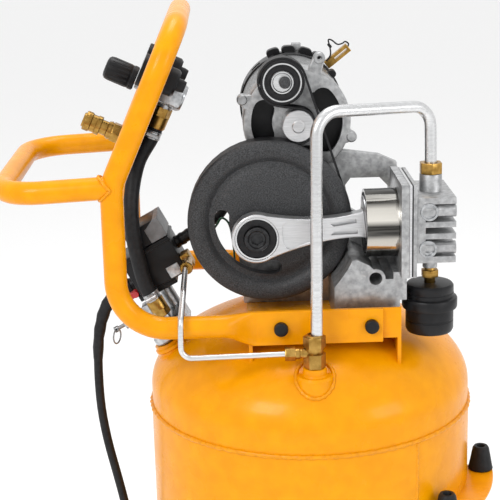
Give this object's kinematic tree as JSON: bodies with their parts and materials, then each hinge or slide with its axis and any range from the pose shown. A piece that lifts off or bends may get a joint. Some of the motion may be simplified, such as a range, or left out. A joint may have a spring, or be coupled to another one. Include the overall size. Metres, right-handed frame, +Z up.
{
  "type": "air compressor",
  "caption": "Portable belt-driven air compressor with its cover off: pump and motor on a saddle over an upright tank, tube handle with grip loop and control panel, rear wheels and front foot.",
  "frame": {"origin": "on the floor, at the middle of the object's footprint box, leaving out the power cord, its coil and its plug", "axes": "+Z up along the tank's axis; +X from the handle towards the cylinder head; -Y is the side of the flywheel and connecting rod"},
  "size_m": [0.5585, 0.42, 0.9839],
  "materials": {
    "yellow_paint": "gloss",
    "cast_iron": "rough cast",
    "aluminium": "cast, satin",
    "polished_metal": "polished",
    "steel": "satin",
    "brass": "satin",
    "winding": "varnished",
    "black_plastic": "moulded",
    "grey_plastic": "moulded",
    "red_plastic": "gloss",
    "rubber": "matte",
    "tyre": "matte"
  },
  "bodies": {
    "frame": {"tank_top_head": "yellow_paint", "tank_shell": "yellow_paint", "cover_bumper_1": "rubber", "cover_bumper_2": "rubber", "tank_bottom_head": "yellow_paint", "drain_valve_body": "brass", "axle_and_bracket": "yellow_paint", "front_foot": "yellow_paint", "handle_tube": "yellow_paint", "grip_loop": "yellow_paint", "pump_saddle": "yellow_paint", "pump_frame": "aluminium", "cylinder_sleeve": "polished_metal", "valve_plate": "aluminium", "cylinder_head": "aluminium", "filter_nipple": "brass", "filter_canister": "black_plastic", "motor_front_bracket": "aluminium", "motor_stator": "steel", "motor_rear_cover": "black_plastic", "brush_holder": "brass", "idler_mount": "steel", "drive_belt": "rubber", "discharge_tube": "polished_metal", "discharge_nut_head": "brass", "bleed_tube": "polished_metal", "check_valve_tee": "brass", "regulator_hose": "rubber", "motor_lead": "rubber", "manifold": "steel", "pressure_switch": "black_plastic", "switch_cover": "grey_plastic", "bleed_elbow": "brass", "hose_fitting_manifold": "brass", "hose_fitting_regulator": "brass", "control_panel": "black_plastic", "regulator_body": "aluminium", "gauge_tank": "black_plastic", "gauge_outlet": "black_plastic", "coupler_body": "brass", "power_cord": "rubber", "cord_coil": "rubber", "plug": "rubber"},
    "flywheel": {"flywheel": "cast_iron"},
    "rotor": {"motor_rotor": "winding"},
    "idler": {"idler_pulley": "black_plastic"},
    "piston": {"cup_seal": "black_plastic"},
    "rod": {"connecting_rod": "aluminium", "crank_bearing": "steel", "crank_bolt": "steel"},
    "knob": {"regulator_knob": "black_plastic"},
    "coupler_sleeve": {"coupler_sleeve": "brass"},
    "needle_tank": {"needle_tank": "red_plastic"},
    "needle_outlet": {"needle_outlet": "red_plastic"},
    "switch_lever": {"switch_lever": "red_plastic"},
    "relief_stem": {"relief_stem": "steel"},
    "relief_ring": {"relief_ring": "steel"},
    "drain_tap": {"drain_valve_tap": "brass"},
    "wheel_near": {"wheel_near": "tyre"},
    "wheel_far": {"wheel_far": "tyre"}
  },
  "joints": [
    {"name": "flywheel_spin", "type": "hinge", "parent": "frame", "child": "flywheel", "pos_m": [0.0169, -0.04, 0.7535], "axis": [0, 1, 0], "continuous": true},
    {"name": "motor_spin", "type": "hinge", "parent": "frame", "child": "rotor", "pos_m": [0.0502, 0, 0.8558], "axis": [0, 1, 0], "continuous": true},
    {"name": "idler_spin", "type": "hinge", "parent": "frame", "child": "idler", "pos_m": [0.0339, -0.04, 0.9035], "axis": [0, 1, 0], "continuous": true},
    {"name": "piston_stroke", "type": "slide", "parent": "frame", "child": "piston", "axis": [1, 0, 0], "range_m": [-0.0039, 0.035]},
    {"name": "rod_tilt", "type": "hinge", "parent": "piston", "child": "rod", "pos_m": [0.12034, -0.075, 0.7535], "axis": [0, 1, 0], "range_deg": [-3.4, 15.4]},
    {"name": "knob_turn", "type": "hinge", "parent": "frame", "child": "knob", "pos_m": [-0.10842, 0, 0.89766], "axis": [-0.9063, 0, 0.4226], "range_deg": [-720, 720]},
    {"name": "coupler_release", "type": "slide", "parent": "frame", "child": "coupler_sleeve", "axis": [0.9063, 0, -0.4226], "range_m": [0, 0.005], "stiffness_N_per_m": 400, "springref_m": -0.005},
    {"name": "tank_needle", "type": "hinge", "parent": "frame", "child": "needle_tank", "pos_m": [-0.10039, -0.046, 0.91488], "axis": [-0.9063, 0, 0.4226], "range_deg": [-270, 0]},
    {"name": "outlet_needle", "type": "hinge", "parent": "frame", "child": "needle_outlet", "pos_m": [-0.10039, 0.046, 0.91488], "axis": [-0.9063, 0, 0.4226], "range_deg": [-270, 0]},
    {"name": "switch_throw", "type": "hinge", "parent": "frame", "child": "switch_lever", "pos_m": [-0.13582, -0.009, 0.66185], "axis": [0, 1, 0], "range_deg": [-15, 15]},
    {"name": "relief_pull", "type": "slide", "parent": "frame", "child": "relief_stem", "axis": [-0.8829, 0, -0.4695], "range_m": [0, 0.003], "stiffness_N_per_m": 2000, "springref_m": -0.003},
    {"name": "ring_swing", "type": "hinge", "parent": "relief_stem", "child": "relief_ring", "pos_m": [-0.15955, -0.008, 0.61979], "axis": [0, 1, 0], "range_deg": [-40, 40]},
    {"name": "drain_tap_turn", "type": "hinge", "parent": "frame", "child": "drain_tap", "pos_m": [0.0606, -0.038, 0.012], "axis": [0, 0, 1], "range_deg": [0, 90]},
    {"name": "wheel_near_spin", "type": "hinge", "parent": "frame", "child": "wheel_near", "pos_m": [-0.1114, -0.182, 0.089], "axis": [0, 1, 0], "continuous": true},
    {"name": "wheel_far_spin", "type": "hinge", "parent": "frame", "child": "wheel_far", "pos_m": [-0.1114, 0.182, 0.089], "axis": [0, 1, 0], "continuous": true}
  ],
  "couplings": [
    {"joint": "motor_spin", "follows": "flywheel_spin", "ratio": -4.6105},
    {"joint": "idler_spin", "follows": "flywheel_spin", "ratio": 3.4219}
  ]
}
